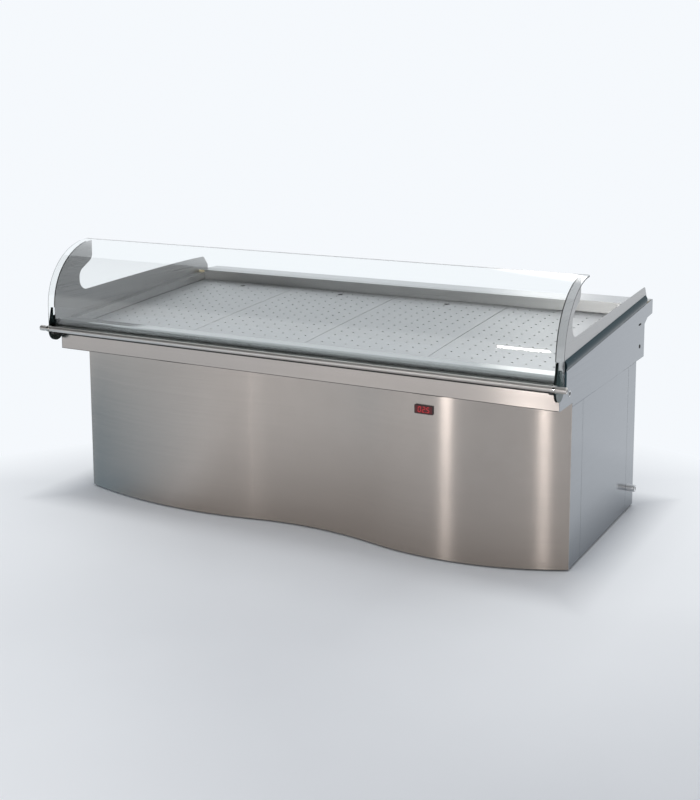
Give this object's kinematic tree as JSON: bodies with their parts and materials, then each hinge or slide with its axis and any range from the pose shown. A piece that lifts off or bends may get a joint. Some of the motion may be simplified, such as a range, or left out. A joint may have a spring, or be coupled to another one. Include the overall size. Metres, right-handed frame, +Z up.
{
  "type": "refrigerated fish display case",
  "caption": "Cooled fish counter with a sloping display well, tilting curved front glass and an S-curved stainless cabinet with rear doors and machine bay.",
  "frame": {"origin": "on the floor, below the middle of the overall box", "axes": "+X along the counter to the right as the customer sees it, +Y to the rear, where the staff stand, +Z up"},
  "size_m": [2.61, 1.402, 1.201],
  "materials": {
    "front_steel": "vertically brushed stainless steel, warm grey",
    "case_steel": "brushed stainless steel, cool grey",
    "top_steel": "lengthwise brushed stainless steel, light grey",
    "frame_steel": "zinc-coated square tube",
    "nose_steel": "polished stainless steel roll",
    "trim_steel": "dark brushed half-round profile",
    "arm_dark": "dark polished metal",
    "bracket_steel": "satin steel casting",
    "rail_chrome": "polished round tube",
    "clear_glass": "clear toughened glass, polished edges",
    "seal_rubber": "black rubber",
    "copper": "bare copper tube",
    "foam": "rigid insulating foam",
    "machine_black": "black enamel",
    "fin_aluminium": "bare aluminium fins",
    "fan_plastic": "dark moulded plastic",
    "drain_plastic": "grey moulded plastic",
    "display_black": "black moulded plastic",
    "display_red": "dark red window with lit digits"
  },
  "bodies": {
    "case": {"base_frame": "frame_steel", "cabinet_floor": "case_steel", "cheek_left": "top_steel", "cheek_right": "top_steel", "cheek_seals": "seal_rubber", "coil_supports": "top_steel", "compressor": "machine_black", "condenser": "fin_aluminium", "deck_ledges": "top_steel", "display_unit": "display_black", "display_window": "display_red", "dividing_wall": "case_steel", "door_catches": "machine_black", "door_pins": "frame_steel", "drain_outlet": "drain_plastic", "drain_pipe": "bracket_steel", "end_panel_left": "case_steel", "end_panel_right": "case_steel", "evaporator_coil": "copper", "fan_motor": "machine_black", "fan_shroud": "machine_black", "fascia": "top_steel", "front_lip": "nose_steel", "front_panel": "front_steel", "insulation": "foam", "left_side_panel": "case_steel", "levelling_feet": "seal_rubber", "nose_band": "nose_steel", "panel_stiffener": "case_steel", "posts": "case_steel", "power_gland": "seal_rubber", "rail": "rail_chrome", "rail_brackets": "arm_dark", "rail_end_caps": "rail_chrome", "rear_grille": "case_steel", "rear_kick_plate": "case_steel", "rear_skin": "case_steel", "refrigerant_lines": "copper", "right_side_panel": "case_steel", "right_side_strips": "case_steel", "side_trims": "trim_steel", "top_frame": "frame_steel", "tub_pan": "case_steel", "unit_tray": "frame_steel", "well_liner": "top_steel", "well_sides": "top_steel", "worktop": "top_steel"},
    "glass": {"front_glass": "clear_glass", "glass_channel": "arm_dark", "glass_arm_left": "arm_dark", "glass_arm_right": "arm_dark"},
    "deck_1": {"deck_plate_1": "top_steel"},
    "deck_2": {"deck_plate_2": "top_steel"},
    "deck_3": {"deck_plate_3": "top_steel"},
    "deck_4": {"deck_plate_4": "top_steel"},
    "door_l": {"door_left": "case_steel", "door_handle_left": "rail_chrome"},
    "door_r": {"door_right": "case_steel", "door_handle_right": "rail_chrome"},
    "fan_rotor": {"fan": "fan_plastic"}
  },
  "joints": [
    {"name": "glass_tilt", "type": "hinge", "parent": "case", "child": "glass", "pos_m": [0, -0.686, 0.8055], "axis": [1, 0, 0], "range_deg": [0, 80]},
    {"name": "deck_lift_1", "type": "slide", "parent": "case", "child": "deck_1", "axis": [0, 0, 1], "range_m": [0, 0.25]},
    {"name": "deck_lift_2", "type": "slide", "parent": "case", "child": "deck_2", "axis": [0, 0, 1], "range_m": [0, 0.25]},
    {"name": "deck_lift_3", "type": "slide", "parent": "case", "child": "deck_3", "axis": [0, 0, 1], "range_m": [0, 0.25]},
    {"name": "deck_lift_4", "type": "slide", "parent": "case", "child": "deck_4", "axis": [0, 0, 1], "range_m": [0, 0.25]},
    {"name": "door_left_hinge", "type": "hinge", "parent": "case", "child": "door_l", "pos_m": [-0.404, 0.436, 0.373], "axis": [0, 0, 1], "range_deg": [0, 95]},
    {"name": "door_right_hinge", "type": "hinge", "parent": "case", "child": "door_r", "pos_m": [1.195, 0.436, 0.373], "axis": [0, 0, -1], "range_deg": [0, 95]},
    {"name": "fan_spin", "type": "hinge", "parent": "case", "child": "fan_rotor", "pos_m": [-0.787, 0.325, 0.284], "axis": [0, 1, 0], "continuous": true}
  ]
}
